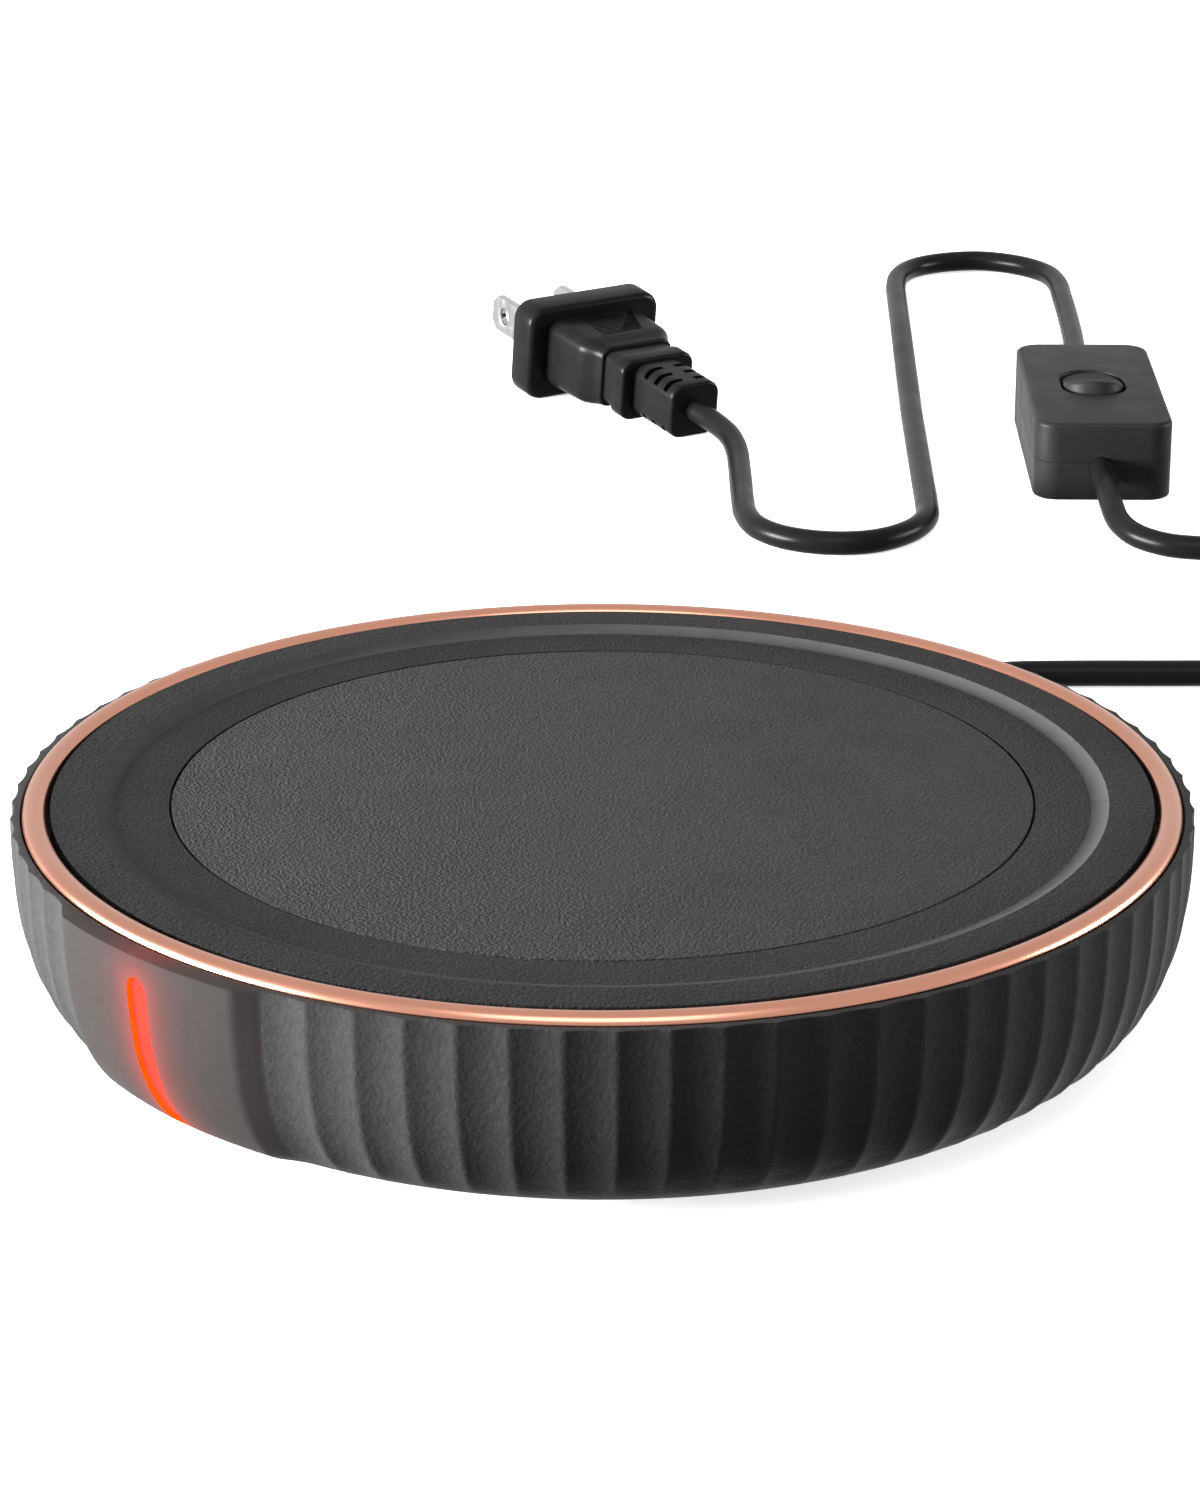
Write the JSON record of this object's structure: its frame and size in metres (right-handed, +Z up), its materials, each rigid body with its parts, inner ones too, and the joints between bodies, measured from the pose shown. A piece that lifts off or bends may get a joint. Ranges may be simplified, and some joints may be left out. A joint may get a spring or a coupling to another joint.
{
  "type": "electric mug warmer",
  "caption": "Electric mug warmer: fluted bowl housing, heating plate in a shallow well, rose gold trim ring, lit front strip, and a mains lead with inline rocker switch and plug.",
  "frame": {"origin": "middle of the warmer's base on the table, below the centre of the heating plate", "axes": "+Z up through the centre of the heating plate; -Y towards the smooth front panel with the lit strip; +X to the right of a user facing the panel"},
  "size_m": [0.286, 0.3774, 0.0277],
  "materials": {
    "housing_plastic": "fine spark-eroded texture",
    "cover_plastic": "coarse leather-like grain",
    "plate_coating": "grained non-stick coating",
    "rose_gold": "satin rose gold plating",
    "lens": "translucent, lit red",
    "silicone": "matte",
    "steel": "plain",
    "aluminium_sheet": "mill finish",
    "mica": "flaky sheet",
    "ribbon": "rolled",
    "felt": "ceramic fibre felt",
    "ceramic_body": "unglazed",
    "black_phenolic": "moulded",
    "board_green": "solder mask",
    "led_body": "clear",
    "wire_red": "insulation",
    "nylon": "natural nylon",
    "cable_pvc": "satin PVC sheath",
    "rubber_black": "matte",
    "switch_plastic": "smooth satin",
    "plug_pvc": "satin moulded PVC",
    "brass_part": "plain",
    "nickel": "nickel plated"
  },
  "bodies": {
    "warmer": {"fluted_housing": "housing_plastic", "base_cover": "housing_plastic", "top_cover": "cover_plastic", "trim_ring": "rose_gold", "heating_plate": "plate_coating", "plate_gasket": "silicone", "plate_studs": "steel", "upper_mica_sheet": "mica", "resistance_ribbon": "ribbon", "lower_mica_sheet": "mica", "insulation_pad": "felt", "clamp_plate": "aluminium_sheet", "stud_nuts": "steel", "thermostat": "black_phenolic", "thermal_fuse": "aluminium_sheet", "fuse_strap": "steel", "strip_lens": "lens", "lens_holder": "black_phenolic", "light_board": "board_green", "light_leds": "led_body", "terminal_block": "nylon", "internal_leads": "wire_red", "lead_tail": "cable_pvc", "lead_clamp": "nylon", "clamp_screws": "steel", "bend_relief": "plug_pvc", "rubber_feet": "rubber_black", "housing_screws": "steel", "warmer_lead": "cable_pvc", "lead_coil": "cable_pvc", "coil_tie": "rubber_black", "switch_lead": "cable_pvc", "plug_lead": "cable_pvc", "switch_top_cover": "switch_plastic", "switch_bottom_cover": "switch_plastic", "switch_terminals": "brass_part", "switch_screws": "steel", "plug_body": "plug_pvc", "plug_insert": "black_phenolic", "plug_blades": "nickel"},
    "rocker": {"rocker": "switch_plastic", "rocker_plunger": "nylon", "plunger_spring": "steel"},
    "contact_bridge": {"contact_bridge": "brass_part"}
  },
  "joints": [
    {"name": "rocker_tilt", "type": "hinge", "parent": "warmer", "child": "rocker", "pos_m": [-0.1048, 0.21865, 0.0092], "axis": [0.7133, 0.7009, 0], "range_deg": [0, 18]},
    {"name": "bridge_tilt", "type": "hinge", "parent": "warmer", "child": "contact_bridge", "pos_m": [-0.1048, 0.21865, 0.0031], "axis": [0.7133, 0.7009, 0], "range_deg": [-10, 0]}
  ],
  "couplings": [
    {"joint": "bridge_tilt", "follows": "rocker_tilt", "ratio": -0.55556}
  ]
}
